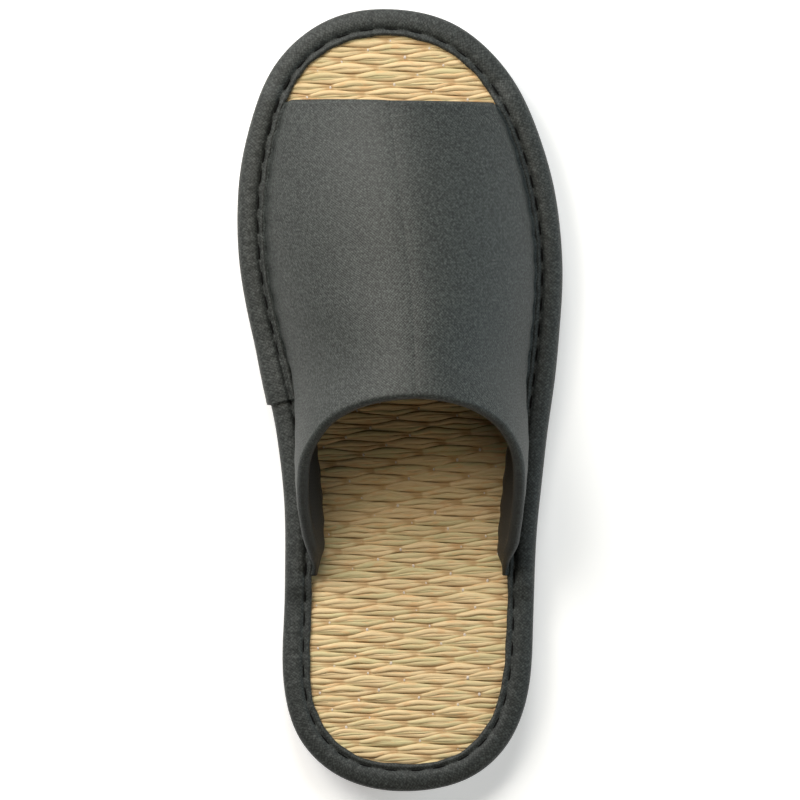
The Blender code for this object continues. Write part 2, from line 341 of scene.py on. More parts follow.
def inner_turn(along):
    """Turn of a place on the inner side."""
    return float(np.interp(-along, -curve[toe:, 1], edge_turn[toe:]))


def smoothstep(share):
    """A share cut off at 0 and 1, and eased at both ends."""
    share = np.clip(share, 0.0, 1.0)
    return share * share * (3.0 - 2.0 * share)


print("inner waist across in mm:", round(float(across_at(-45.0, inset=0.0, inner=True)), 1))

# %% [markdown]
# ## Levels and rocker
# From the floor up lie the sole sheet, the tape's tuck, the board with the rush, the flange of the band
# and the tape's lip. The sole is flat from the heel to the ball and lifts a little at the toe and heel.
# The same lift is added to every layer, so that they stay together.

# %% Levels of the stack
GAP = 0.3
OUTSOLE_TOP = 5.0
TAPE_THICK = 1.1
TAPE_LOW = OUTSOLE_TOP + GAP
BOARD_LOW = TAPE_LOW + TAPE_THICK + GAP
BOARD_THICK = 5.0
BOARD_TOP = BOARD_LOW + BOARD_THICK
FLANGE_LOW = BOARD_TOP + GAP
FLANGE_THICK = 1.4
FLANGE_TOP = FLANGE_LOW + FLANGE_THICK
TOE_SPRING = 5.0
TOE_SPRING_FROM = 70.0
HEEL_LIFT = 1.5
HEEL_LIFT_FROM = -108.0


def lift(along):
    """Height of the sole's rocker."""
    at_toe = (along - TOE_SPRING_FROM) / (toe_along - TOE_SPRING_FROM)
    at_heel = (HEEL_LIFT_FROM - along) / (HEEL_LIFT_FROM + toe_along)
    return TOE_SPRING * np.clip(at_toe, 0.0, 1.0) ** 2 + HEEL_LIFT * np.clip(at_heel, 0.0, 1.0) ** 2


print("footbed top in mm:", BOARD_TOP, "lift at the toe:", round(float(lift(toe_along)), 1))

# %% Reach of the band's flange
FRONT_ALONG = 101.2
WING_END = -60.0
FLANGE_MARGIN = 3.0
FLANGE_FADE = 8.0


def flange_share(along):
    """1 where the band's flange lies under the tape, fading to 0 past its ends."""
    front = (FRONT_ALONG + FLANGE_MARGIN + FLANGE_FADE - along) / FLANGE_FADE
    back = (along - WING_END + FLANGE_MARGIN + FLANGE_FADE) / FLANGE_FADE
    return smoothstep(front) * smoothstep(back)


print("band from", WING_END, "to", FRONT_ALONG, "mm along")

# %% [markdown]
# ## Skins from grids
# The sole layers, the tape, the band and the rush stems are all skins that bend two ways. A grid from
# bmesh.ops.create_grid has the right faces from the start: each of its corners is moved to its place,
# and merging doubles then closes the seams where the skin meets itself. The cloth map keeps where each
# corner lies on the flat cloth, in millimetres, so that a weave can follow the bends.

# %% Grid helpers
def add_grid(work, places):
    """A grid in the bmesh, with its corners at the places (rows, columns, 3), in millimetres."""
    rows, columns = places.shape[:2]
    made = bmesh.ops.create_grid(work, x_segments=columns - 1, y_segments=rows - 1, size=0.5)["verts"]
    for corner, place in zip(made, places.reshape(-1, 3) * MM):
        corner.co = place
    return made


def map_cloth(work, spots):
    """Write each corner's place on the flat cloth into the cloth map."""
    chart = work.loops.layers.uv.new("cloth")
    spots = spots.reshape(-1, 2)
    work.verts.index_update()
    for face in work.faces:
        for loop in face.loops:
            loop[chart].uv = spots[loop.vert.index]


WELD = 1e-6


def finish_piece(work, name, material, weld=True):
    """Close the seams, turn the faces outwards and make the piece that rides on the slipper."""
    if weld:
        bmesh.ops.remove_doubles(work, verts=work.verts, dist=WELD)
    bmesh.ops.recalc_face_normals(work, faces=work.faces)
    mesh = bpy.data.meshes.new(name)
    work.to_mesh(mesh)
    work.free()
    mesh.shade_smooth()
    mesh.materials.append(material)
    piece = bpy.data.objects.new(name, mesh)
    bpy.context.scene.collection.objects.link(piece)
    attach(piece, "root")
    triangles = sum(len(face.vertices) - 2 for face in mesh.polygons)
    print(name, "triangles:", triangles)
    return piece


print("weld distance in m:", WELD)

# %% [markdown]
# ## Sole sheet
# The walking sole is a sheet of charcoal foam rubber with rounded edges and fine cross ribs underneath.
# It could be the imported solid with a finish, but that has long facets. Slices from the outer side to the
# inner side, closer together near the tips, give a smooth slab with the ribs modelled into its underside.

# %% Slab helper and the sole
Ring = namedtuple("Ring", "place inset height")
SOLE_RINGS = [
    Ring("tread edge", 4.2, 0.0),
    Ring("tread round", 3.5, 0.15),
    Ring("tread side", 3.0, 0.5),
    Ring("side foot", 2.62, 1.4),
    Ring("side", 2.5, 2.8),
    Ring("side top", 2.52, 4.1),
    Ring("top round", 2.8, 4.7),
    Ring("top edge", 3.3, OUTSOLE_TOP),
]
RIB_PITCH = 3.2
RIB_DEPTH = 0.5
RIB_STEEPNESS = 0.9
SOLE_SLICES = 440
SOLE_STEPS = 9


def slab_places(rings, slices, across_steps, under):
    """Corner places of a slab: closed slices from side to side, from the heel tip to the toe tip."""
    turns = 0.25 * (1.0 - np.cos(np.pi * np.linspace(0.0, 1.0, slices)))
    outer = np.stack([edge_at(turns, ring.inset) for ring in rings], axis=1)
    inner = np.stack([edge_at(1.0 - turns, ring.inset) for ring in rings], axis=1)
    heights = column_of(rings, "height")
    share = (np.arange(across_steps) + 1.0)[:, None] / (across_steps + 1.0)
    top = outer[:, -1:] + share * (inner[:, -1:] - outer[:, -1:])
    bottom = inner[:, :1] + share * (outer[:, :1] - inner[:, :1])
    plan = np.concatenate([outer, top, inner[:, ::-1], bottom, outer[:, :1]], axis=1)
    level = np.concatenate([heights, np.full(across_steps, heights[-1]), heights[::-1]])
    level = np.tile(np.concatenate([level, np.full(across_steps + 1, heights[0])]), (slices, 1))
    below = slice(2 * len(rings) + across_steps, -1)
    level[:, below] += under(plan[:, below, 1])
    return np.dstack([plan, level + lift(plan[..., 1])])


def tread_ribs(along):
    """How far the tread stands up from the floor between its ribs."""
    return RIB_DEPTH * smoothstep(0.5 + RIB_STEEPNESS * np.cos(2 * np.pi * along / RIB_PITCH))


rubber, rubber_tree, rubber_shader = new_finish("foam_rubber", roughness=0.8)
rubber_spot = rubber_tree.nodes.new("ShaderNodeTexCoord").outputs["Object"]
rubber_grain = noise(rubber_tree, rubber_spot, scale=1400.0, detail=3.0)
rubber_cloud = noise(rubber_tree, rubber_spot, scale=60.0)
rubber_fine = calc(rubber_tree, "MULTIPLY", rubber_grain, 0.5)
rubber_share = calc(rubber_tree, "MULTIPLY_ADD", rubber_cloud, 0.5, rubber_fine)
rubber_shade = blend_colour(rubber_tree, rubber_share, (0.022, 0.022, 0.023), (0.062, 0.060, 0.060))
rubber_tree.links.new(rubber_shade, rubber_shader.inputs["Base Color"])
raise_bumps(rubber_tree, rubber_shader, rubber_grain, distance=0.0002, strength=0.5)

sole_work = bmesh.new()
add_grid(sole_work, slab_places(SOLE_RINGS, SOLE_SLICES, SOLE_STEPS, tread_ribs))
outsole_sheet = finish_piece(sole_work, "outsole_sheet", rubber)
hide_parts("outsole")

# %% [markdown]
# ## Board under the rush
# The rush mat is glued to a stiff board, which shows only as a dark gap between stems. A plain slab is
# enough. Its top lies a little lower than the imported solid's, to leave room for the stems.

# %% Footbed board
STEM_ROOM = 0.85
BOARD_SLICES = 120
BOARD_STEPS = 5
BOARD_RINGS = [
    Ring("plug", 9.9, TAPE_LOW),
    Ring("plug shoulder", 9.9, BOARD_LOW),
    Ring("under edge", 4.6, BOARD_LOW),
    Ring("lower round", 2.7, BOARD_LOW + 0.9),
    Ring("side", 1.9, BOARD_LOW + 2.0),
    Ring("upper round", 2.9, BOARD_TOP - STEM_ROOM - 0.5),
    Ring("top edge", 4.8, BOARD_TOP - STEM_ROOM),
]

board, _ = grained_finish(
    "fibre_board", roughness=0.9, grain_scale=500.0, dark=(0.40, 0.28, 0.13), light=(0.52, 0.39, 0.20)
)
board_work = bmesh.new()
add_grid(board_work, slab_places(BOARD_RINGS, BOARD_SLICES, BOARD_STEPS, np.zeros_like))
finish_piece(board_work, "footbed_board", board)

# %% [markdown]
# ## Rush finish
# Dried rush is pale straw with green and tan lengths, and fine lines run along each stem. The stems carry
# two values of their own, which straw colour they are and how much painted shade each place gets, darker
# towards the ends of each float and along its heel-side edge, and a map of the place along and round the
# stem. The finish mixes its colours from these, so no two look alike.

# %% Straw colours
PALE_STRAW = (0.75, 0.565, 0.315)
GREEN_STRAW = (0.61, 0.525, 0.28)
TAN_STRAW = (0.72, 0.44, 0.21)
# The brown is both the colour of the fibre lines and the painted shade on the stems.
BROWN_STRAW_AND_SHADE = (0.47, 0.275, 0.12)


def own_value(tree, name):
    """A value that the piece carries on its corners."""
    node = tree.nodes.new("ShaderNodeAttribute")
    node.attribute_name = name
    return node.outputs["Fac"]


def along_stem(tree, lengthwise, roundwise):
    """Places on the stems, stretched by one factor along them and another round them."""
    chart = tree.nodes.new("ShaderNodeUVMap")
    chart.uv_map = "cloth"
    parts = tree.nodes.new("ShaderNodeSeparateXYZ")
    tree.links.new(chart.outputs["UV"], parts.inputs["Vector"])
    scaled_along = calc(tree, "MULTIPLY", parts.outputs["X"], lengthwise)
    return joined(tree, scaled_along, calc(tree, "MULTIPLY", parts.outputs["Y"], roundwise))


print("straw colours:", PALE_STRAW, GREEN_STRAW, TAN_STRAW, BROWN_STRAW_AND_SHADE)

# %% Straw finish
HUE_WEIGHT = 0.5
PATCH_WEIGHT = 0.7
TAN_MOST = 0.7
LINE_MOST = 0.5
PAINTED_SHADE_MOST = 0.68

straw, straw_tree, straw_shader = new_finish("dried_rush", roughness=0.55)
straw_shader.inputs["Specular IOR Level"].default_value = 0.3
fibre_place = along_stem(straw_tree, lengthwise=0.10, roundwise=11.0)
fibre = noise(straw_tree, fibre_place, 1.0, detail=3.0, roughness=0.6)
patch = noise(straw_tree, along_stem(straw_tree, lengthwise=0.10, roundwise=0.9), 1.0)
stain = noise(straw_tree, along_stem(straw_tree, lengthwise=0.16, roundwise=3.1), 1.0)
hue = calc(straw_tree, "MULTIPLY", own_value(straw_tree, "straw_hue"), HUE_WEIGHT)
straw_shade_value = own_value(straw_tree, "straw_painted_shade")
green_sum = calc(straw_tree, "MULTIPLY_ADD", patch, PATCH_WEIGHT, hue)
green_share = spread(straw_tree, green_sum, low=0.48, high=0.92)
tan_share = calc(straw_tree, "MULTIPLY", spread(straw_tree, stain, low=0.52, high=0.70), TAN_MOST)
line_share = calc(straw_tree, "MULTIPLY", spread(straw_tree, fibre, low=0.50, high=0.78), LINE_MOST)
# Painted shade: the straw is mixed towards brown at the float ends and along the heel-side edge.
painted_shade_share = calc(straw_tree, "MULTIPLY", spread(straw_tree, straw_shade_value, low=0.35, high=1.1), PAINTED_SHADE_MOST)
shade = blend_colour(straw_tree, green_share, PALE_STRAW, GREEN_STRAW)
shade = blend_colour(straw_tree, tan_share, shade, TAN_STRAW)
shade = blend_colour(straw_tree, line_share, shade, BROWN_STRAW_AND_SHADE)
shade = blend_colour(straw_tree, painted_shade_share, shade, BROWN_STRAW_AND_SHADE)
straw_tree.links.new(shade, straw_shader.inputs["Base Color"])
raise_bumps(straw_tree, straw_shader, fibre, distance=0.00025, strength=0.6)
print("straw finish nodes:", len(straw_tree.nodes))

# %% [markdown]
# ## Rush stems
# The mat is a satin weave. Each row is a bundle of three stems that floats over five cotton warp threads
# and is tied down by the next, and the ties move two threads along at each row. At a tie the bundle is
# squeezed together and pressed down, and between ties it swells into a leaf that slopes down to the
# heel like a shingle. The toe-side stem swells early and the heel-side stem late, so the leaf looks
# twisted, and the core shows in the slit between them. Each stem is a grid rolled into a flattened tube
# that follows this path. The rows run a little uphill to the outer side.

# %% Weave sizes
ROW_PITCH = 3.02
WARP_PITCH = 4.2
FLOAT_LENGTH = 5 * WARP_PITCH
ROW_TILT = np.radians(2.4)
FIRST_ROW = 105.65
FIRST_TIE = 14.8
MAT_INSET = 7.0
TIE_HALF = 1.2
FLOAT_HALF = 2.25
FLOAT_POWER = 3.0
SLIT_HALF = 0.42
SLIT_POWER = 11
STEM_OVERLAP = 0.2
BUNDLE_CROWN = 0.38
BUNDLE_SLANT = 0.17
STEM_THICK_TIE = 0.36
STEM_TOP = BOARD_TOP + 0.35
TIE_TOP = BOARD_TOP - 0.45
STEM_STEP = 1.55
STEM_SIDES = 8
ROW_MARGIN = 0.6

Strand = namedtuple("Strand", "place side share thick drop stir skew")
STRANDS = [
    Strand("toe side", 1.0, 0.5, 0.44, 0.0, 0.12, 0.74),
    Strand("core", 0.0, 0.33, 0.42, 0.30, 0.3, 1.0),
    Strand("heel side", -1.0, 0.5, 0.44, 0.06, 0.12, 1.42),
]

ROW_WAY = np.array([np.cos(ROW_TILT), np.sin(ROW_TILT)])
ROW_RISE = np.array([-np.sin(ROW_TILT), np.cos(ROW_TILT)])
mat_edge = curve + MAT_INSET * inward
mat_edge = np.column_stack([mat_edge @ ROW_WAY, mat_edge @ ROW_RISE])


def row_reach(level, edge):
    """Where a row meets the edge of the mat on either side."""
    before, after = edge[:-1], edge[1:]
    cut = (before[:, 1] - level) * (after[:, 1] - level) < 0
    share = (level - before[cut, 1]) / (after[cut, 1] - before[cut, 1])
    spots = before[cut, 0] + share * (after[cut, 0] - before[cut, 0])
    return spots.min(), spots.max()


low_row = int(np.ceil((mat_edge[:, 1].min() + ROW_MARGIN - FIRST_ROW) / ROW_PITCH))
high_row = int(np.floor((mat_edge[:, 1].max() - ROW_MARGIN - FIRST_ROW) / ROW_PITCH))
ROWS = range(low_row, high_row + 1)
print("rows of rush:", len(ROWS))

# %% Ties and floats of a row
TIE_JITTER = 0.45
FLOAT_SWELLS = (0.86, 1.08)
FLOAT_SKEWS = (0.88, 1.14)
FLOAT_LEANS = (-0.22, 0.22)
weaver = np.random.default_rng(seed=41)
Bundle = namedtuple("Bundle", "ties swell skew lean")


def row_bundle(row, start, stop):
    """Where a row is tied down, and small differences of its floats between the ties."""
    base = FIRST_TIE + 2 * WARP_PITCH * row
    first = np.floor((start - base) / FLOAT_LENGTH) - 1
    last = np.ceil((stop - base) / FLOAT_LENGTH) + 1
    count = int(last - first)
    tied = base + FLOAT_LENGTH * np.arange(first, last + 1)
    return Bundle(
        tied + weaver.normal(0.0, TIE_JITTER, count + 1),
        weaver.uniform(*FLOAT_SWELLS, count),
        weaver.uniform(*FLOAT_SKEWS, count),
        weaver.uniform(*FLOAT_LEANS, count),
    )


print("float length in mm:", FLOAT_LENGTH)

# %% Puff of the mat
MAT_PUFF = 0.4
PUFF_RUN = 2.0
LIP_INSET = 9.8
FOOT_INSET = 14.0
SPARSE_STEP = 12
sparse_edge = curve[::SPARSE_STEP]


def mat_puff(spots):
    """How far the mat rises beside the lip, or inside the band's foot, that presses it down."""
    inset = np.linalg.norm(spots[:, None] - sparse_edge[None], axis=2).min(axis=1)
    start = LIP_INSET + (FOOT_INSET - LIP_INSET) * flange_share(spots[:, 1])
    return MAT_PUFF * smoothstep((inset - start) / PUFF_RUN)


print("puff in mm:", MAT_PUFF)

# %% Shape of a stem
Lie = namedtuple("Lie", "shift drift level slant width")
LIE_REACH = Lie(shift=0.2, drift=0.4, level=1.0, slant=0.25, width=0.1)
# Painted shade on the straw, towards the ends of each float and along its heel-side edge.
END_PAINTED_SHADE = 0.5
EDGE_PAINTED_SHADE_FROM = 0.3
EDGE_PAINTED_SHADE_RUN = 0.6


def stem_places(along, row, strand, bundle):
    """Corner places of one stem of a row, and its painted shade towards the float ends and heel edge, 0 to
    1.
    """
    runs = np.interp(along, bundle.ties, np.arange(len(bundle.ties)))
    which = np.minimum(runs.astype(int), len(bundle.swell) - 1)
    way = runs - which
    rise = np.sin(np.pi * way ** (strand.skew * bundle.skew[which]))
    swell = rise**FLOAT_POWER
    lie = Lie(*(weaver.uniform(-reach, reach, len(bundle.swell))[which] for reach in LIE_REACH))
    half = TIE_HALF + (FLOAT_HALF - TIE_HALF) * swell * bundle.swell[which]
    slit = SLIT_HALF * rise**SLIT_POWER - STEM_OVERLAP
    width = strand.share * (half - slit) * (1.0 + lie.width * swell)
    thick = STEM_THICK_TIE + (strand.thick - STEM_THICK_TIE) * rise
    stray = bundle.lean[which] + lie.shift + lie.drift * (2.0 * way - 1.0)
    offset = strand.side * (half - width)
    middle = FIRST_ROW + row * ROW_PITCH + offset + stray * swell
    path = along[:, None] * ROW_WAY + middle[:, None] * ROW_RISE
    crest = STEM_TOP - strand.drop + strand.stir * lie.level
    top = TIE_TOP + (crest - TIE_TOP) * rise + mat_puff(path)
    ends = np.ones(len(along))
    ends[[0, -1]] = 0.0
    angle = np.linspace(0.0, 2 * np.pi, STEM_SIDES + 1) - np.pi / 2
    aside = np.outer(width * ends, np.cos(angle))
    plan = path[:, None] + aside[..., None] * ROW_RISE
    height = (top - thick)[:, None] + np.outer(thick * ends, np.sin(angle))
    height += (lie.slant * rise)[:, None] * aside
    off_middle = (offset[:, None] + aside) / FLOAT_HALF
    height += rise[:, None] * (BUNDLE_SLANT * off_middle - BUNDLE_CROWN * off_middle**2)
    # Painted shade: darker towards each float's ends, most at its later end, and along the heel-side edge.
    painted_end_shade = (1.0 - rise) * (END_PAINTED_SHADE + way)
    painted_edge_shade = smoothstep((-off_middle - EDGE_PAINTED_SHADE_FROM) / EDGE_PAINTED_SHADE_RUN)
    painted_shade_amount = np.maximum(painted_end_shade[:, None], painted_edge_shade)
    return np.dstack([plan, height + lift(plan[..., 1])]), painted_shade_amount


print("stems in a row:", [strand.place for strand in STRANDS])

# %% Weave the mat
TIE_MARGIN = 3.5
FEWEST_STATIONS = 6
MAP_SPREAD = 900.0

mat_work = bmesh.new()
hue_layer = mat_work.verts.layers.float.new("straw_hue")
# This layer carries each corner's painted shade.
straw_shade_layer = mat_work.verts.layers.float.new("straw_painted_shade")
stem_spots = []
ties = []
for row in ROWS:
    start, stop = row_reach(FIRST_ROW + row * ROW_PITCH, mat_edge)
    along = np.linspace(start, stop, max(int((stop - start) / STEM_STEP), FEWEST_STATIONS))
    bundle = row_bundle(row, start, stop)
    ties += [(spot, row) for spot in bundle.ties if start + TIE_MARGIN < spot < stop - TIE_MARGIN]
    for strand in STRANDS:
        places, painted_shade_amount = stem_places(along, row, strand, bundle)
        corners = add_grid(mat_work, places)
        hue_value = weaver.uniform(0.0, 1.0)
        for corner, shade_amount in zip(corners, painted_shade_amount.ravel()):
            corner[hue_layer] = hue_value
            corner[straw_shade_layer] = shade_amount
        place_round = np.tile(np.linspace(0.0, 1.0, STEM_SIDES + 1), (len(along), 1))
        place_along = np.tile((along + weaver.uniform(0.0, MAP_SPREAD))[:, None], (1, STEM_SIDES + 1))
        stem_spots.append(np.dstack([place_along, place_round + row]).reshape(-1, 2))
map_cloth(mat_work, np.concatenate(stem_spots))
rush_stems = finish_piece(mat_work, "rush_stems", straw)
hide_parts("insole")

# %% [markdown]
# ## Warp ties
# The cotton warp hides under the floats and shows only where it crosses a squeezed bundle: a short pale
# arc, sometimes half sunk between the stems. There are hundreds, so each is a low sphere from
# bmesh.ops.create_uvsphere, flattened and turned across its row, and all of them are one mesh.

# %% Cotton ties
TIE_HALVES = np.array([0.52, 0.75, 0.34])
TIE_SCALES = (0.7, 1.1)
TIE_SINK = 0.4
TIE_STRAY = 0.15
TIE_TURN = 0.15


def add_bead(work, sides, rings, place, turn, halves):
    """A low sphere of three half sizes, turned about the upright and put in place, in millimetres."""
    move = Matrix.Translation(Vector(place) * MM)
    stretch = Matrix.Diagonal((*(half * MM for half in halves), 1.0))
    matrix = move @ Matrix.Rotation(turn, 4, "Z") @ stretch
    bmesh.ops.create_uvsphere(work, u_segments=sides, v_segments=rings, radius=1.0, matrix=matrix)


cotton, _ = grained_finish(
    "cotton_warp", roughness=0.8, grain_scale=3000.0, dark=(0.58, 0.49, 0.40), light=(0.76, 0.68, 0.60)
)
tie_work = bmesh.new()
for spot, row in ties:
    middle = FIRST_ROW + row * ROW_PITCH + weaver.normal(0.0, TIE_STRAY)
    plan = spot * ROW_WAY + middle * ROW_RISE
    level = TIE_TOP + mat_puff(plan[None])[0] + lift(plan[1]) - weaver.uniform(0.0, TIE_SINK)
    halves = weaver.uniform(*TIE_SCALES) * TIE_HALVES
    turn = ROW_TILT + weaver.normal(0.0, TIE_TURN)
    add_bead(tie_work, sides=8, rings=5, place=(*plan, level), turn=turn, halves=halves)
finish_piece(tie_work, "warp_ties", cotton, weld=False)
print("ties:", len(ties))

# %% [markdown]
# ## Linen weave
# Band and tape are the same kind of cloth: a plain weave of uneven charcoal threads, some of them paler
# or thicker for a stretch. Both finishes use it at their own thread size, so it is one node group. It
# reads the cloth map, finds which thread is on top at each crossing, and gives that thread's tone, with
# painted shade towards its edges where it dips under its neighbours, and the height of its round back.
# The cloth is cut on the bias, so each finish turns the map before the group reads it. A few long pale
# slubs lie level across it, and painted shade darkens the lining inside the band and, at half strength,
# the nose of the throat hem.

# %% Linen weave node group
STRAY_SCALE = 0.09
STRAY_REACH = 1.3
CROSSING_SOFT = 0.25
WARP_STRIDE = 7.31
WEFT_STRIDE = 5.77
TONE_STRETCH = 0.45
WARP_LAYER = 3.1
WEFT_LAYER = 8.7


def linen_weave_group():
    """A node group that gives the tone of a plain weave, with painted shade at thread edges, and its height.
    """
    tree = bpy.data.node_groups.new("linen_weave", "ShaderNodeTree")
    for name, kind in (("Cloth", "Vector"), ("Warp pitch", "Float"), ("Weft pitch", "Float")):
        tree.interface.new_socket(name, in_out="INPUT", socket_type="NodeSocket" + kind)
    for name in ("Tone", "Height"):
        tree.interface.new_socket(name, in_out="OUTPUT", socket_type="NodeSocketFloat")
    source = tree.nodes.new("NodeGroupInput").outputs
    parts = tree.nodes.new("ShaderNodeSeparateXYZ")
    tree.links.new(source["Cloth"], parts.inputs["Vector"])
    stray = noise(tree, source["Cloth"], STRAY_SCALE)
    stray = calc(tree, "MULTIPLY_ADD", stray, 2 * STRAY_REACH, -STRAY_REACH)
    warp = calc(tree, "DIVIDE", calc(tree, "ADD", parts.outputs["X"], stray), source["Warp pitch"])
    weft = calc(tree, "DIVIDE", calc(tree, "SUBTRACT", parts.outputs["Y"], stray), source["Weft pitch"])
    warp_wave = calc(tree, "SINE", calc(tree, "MULTIPLY", warp, np.pi))
    weft_wave = calc(tree, "SINE", calc(tree, "MULTIPLY", weft, np.pi))
    crossing = calc(tree, "MULTIPLY", warp_wave, weft_wave)
    warp_over = spread(tree, crossing, low=-CROSSING_SOFT, high=CROSSING_SOFT)
    weft_over = calc(tree, "SUBTRACT", 1.0, warp_over)
    warp_back = calc(tree, "MULTIPLY", calc(tree, "ABSOLUTE", warp_wave), warp_over)
    weft_back = calc(tree, "MULTIPLY", calc(tree, "ABSOLUTE", weft_wave), weft_over)
    warp_thread = calc(tree, "MULTIPLY", calc(tree, "FLOOR", warp), WARP_STRIDE)
    weft_thread = calc(tree, "MULTIPLY", calc(tree, "FLOOR", weft), WEFT_STRIDE)
    warp_run = calc(tree, "MULTIPLY", warp, TONE_STRETCH)
    weft_run = calc(tree, "MULTIPLY", weft, TONE_STRETCH)
    warp_tone = noise(tree, joined(tree, warp_thread, weft_run, WARP_LAYER), 1.0)
    weft_tone = noise(tree, joined(tree, warp_run, weft_thread, WEFT_LAYER), 1.0)
    warp_part = calc(tree, "MULTIPLY", warp_tone, warp_over)
    tone = calc(tree, "MULTIPLY_ADD", weft_tone, weft_over, warp_part)
    back = calc(tree, "MAXIMUM", warp_back, weft_back)
    result = tree.nodes.new("NodeGroupOutput").inputs
    # Painted shade: each thread's tone is darkened towards its edges, where it dips under its neighbours.
    thread_edge_shade = calc(tree, "MULTIPLY_ADD", back, 0.5, 0.5)
    tree.links.new(calc(tree, "MULTIPLY", tone, thread_edge_shade), result["Tone"])
    tree.links.new(back, result["Height"])
    return tree


LINEN_WEAVE = linen_weave_group()
print("weave nodes:", len(LINEN_WEAVE.nodes))

# %% Linen finishes
Linen = namedtuple("Linen", "name bias warp_pitch weft_pitch gloss dark light slub")
BAND_LINEN = Linen(
    name="band_linen",
    bias=0.70,
    warp_pitch=0.77,
    weft_pitch=0.77,
    gloss=0.58,
    dark=(0.004, 0.0056, 0.0048),
    light=(0.0625, 0.0735, 0.0672),
    slub=(0.14, 0.14, 0.13),
)
TAPE_LINEN = Linen(
    name="tape_linen",
    bias=0.90,
    warp_pitch=0.80,
    weft_pitch=0.90,
    gloss=0.35,
    dark=(0.018, 0.020, 0.019),
    light=(0.070, 0.078, 0.074),
    slub=(0.12, 0.12, 0.11),
)
# Painted shade: the near-black that the band's lining is mixed towards.
LINING_PAINTED_SHADE = (0.010, 0.011, 0.011)
FLECK_SCALE = 1.2
FLECK_WEIGHT = 0.95
TONE_WEIGHT = 0.8
SLUB_ROW = 0.5
SLUB_LENGTH = 14.0
SLUB_STRIDE = 5.77
SLUB_MOST = 0.35


def slub_share(tree, cloth):
    """Share of the few long pale threads that lie level across the cloth."""
    parts = tree.nodes.new("ShaderNodeSeparateXYZ")
    tree.links.new(cloth, parts.inputs["Vector"])
    row = calc(tree, "FLOOR", calc(tree, "DIVIDE", parts.outputs["Y"], SLUB_ROW))
    run = calc(tree, "DIVIDE", parts.outputs["X"], SLUB_LENGTH)
    thread_tone = noise(tree, joined(tree, run, calc(tree, "MULTIPLY", row, SLUB_STRIDE)), 1.0)
    return calc(tree, "MULTIPLY", spread(tree, thread_tone, low=0.72, high=0.80), SLUB_MOST)


def linen_finish(linen):
    """The finish of one linen: its weave, flecks and slubs, and painted shade on the lining where a piece
    has one.
    """
    material, tree, shader = new_finish(linen.name, roughness=0.6)
    shader.inputs["Specular IOR Level"].default_value = linen.gloss
    cloth_map = tree.nodes.new("ShaderNodeUVMap")
    cloth_map.uv_map = "cloth"
    weave = tree.nodes.new("ShaderNodeGroup")
    weave.node_tree = LINEN_WEAVE
    turned = tree.nodes.new("ShaderNodeVectorRotate")
    turned.rotation_type = "Z_AXIS"
    turned.inputs["Angle"].default_value = linen.bias
    tree.links.new(cloth_map.outputs["UV"], turned.inputs["Vector"])
    tree.links.new(turned.outputs["Vector"], weave.inputs["Cloth"])
    weave.inputs["Warp pitch"].default_value = linen.warp_pitch
    weave.inputs["Weft pitch"].default_value = linen.weft_pitch
    fleck = noise(tree, cloth_map.outputs["UV"], FLECK_SCALE, detail=3.0, roughness=0.7)
    fleck = calc(tree, "MULTIPLY", fleck, FLECK_WEIGHT)
    tone = calc(tree, "MULTIPLY_ADD", weave.outputs["Tone"], TONE_WEIGHT, fleck)
    shade = blend_colour(tree, spread(tree, tone, low=0.62, high=1.12), linen.dark, linen.light)
    shade = blend_colour(tree, slub_share(tree, cloth_map.outputs["UV"]), shade, linen.slub)
    # Painted shade on the band's lining and the throat hem's roll.
    shade = blend_colour(tree, own_value(tree, "lining_painted_shade"), shade, LINING_PAINTED_SHADE)
    tree.links.new(shade, shader.inputs["Base Color"])
    raise_bumps(tree, shader, weave.outputs["Height"], distance=0.00022, strength=0.3)
    return material


band_linen = linen_finish(BAND_LINEN)
tape_linen = linen_finish(TAPE_LINEN)
print("linens:", band_linen.name, tape_linen.name)

# %% [markdown]
# ## Edge tape
# The tape wraps the edge of the board from its underside, over the side, to a stitched lip on the
# footbed. Its end is turned under and laps over its start at the inner waist. The section is carried
# round the edge as one closed grid. The stitches pull it down into dimples, the cloth between them
# puckers up, and the lip wanders a little, as hand-turned tape does.

# %% Section of the tape
TapeFold = namedtuple("TapeFold", "place inset share crown facing groove")
TAPE_FOLDS = [
    TapeFold("lip edge", 9.4, 1.0, 0.0, 100.0, 0.45),
    TapeFold("lip", 8.6, 1.0, 0.0, 92.0, -0.20),
    TapeFold("stitch line", 7.2, 1.0, 0.0, 90.0, 0.35),
    TapeFold("stitch wall", 6.0, 1.0, 0.15, 88.0, -0.05),
    TapeFold("crest", 4.4, 1.0, 0.25, 80.0, -0.05),
    TapeFold("shoulder", 2.3, 1.0, -0.4, 58.0, 0.0),
    TapeFold("upper side", 1.4, 0.78, 0.0, 22.0, 0.0),
    TapeFold("side", 1.2, 0.45, 0.0, -4.0, 0.0),
    TapeFold("lower side", 1.9, 0.12, 0.0, -38.0, 0.0),
    TapeFold("tuck", 4.2, 0.0, 0.0, -90.0, 0.0),
    TapeFold("lower edge", 9.4, 0.0, 0.0, -90.0, 0.0),
]
FOLD_STEPS = 37

fold_index = np.arange(len(TAPE_FOLDS), dtype=float)
fold_place = np.linspace(0.0, fold_index[-1], FOLD_STEPS)


def fold_column(name):
    """A column of the folds, read smoothly between them."""
    values = column_of(TAPE_FOLDS, name)
    return hermite(fold_index, values, np.gradient(values), fold_place)


print("points across the tape:", FOLD_STEPS)

# %% Stitch places
STITCH_INSET = 7.2
STITCH_PITCH = 8.6
STITCH_LENGTH = 5.2
STITCH_STRAY = 0.7
DIMPLE_MARGIN = 0.9
DIMPLE_RUN = 1.3

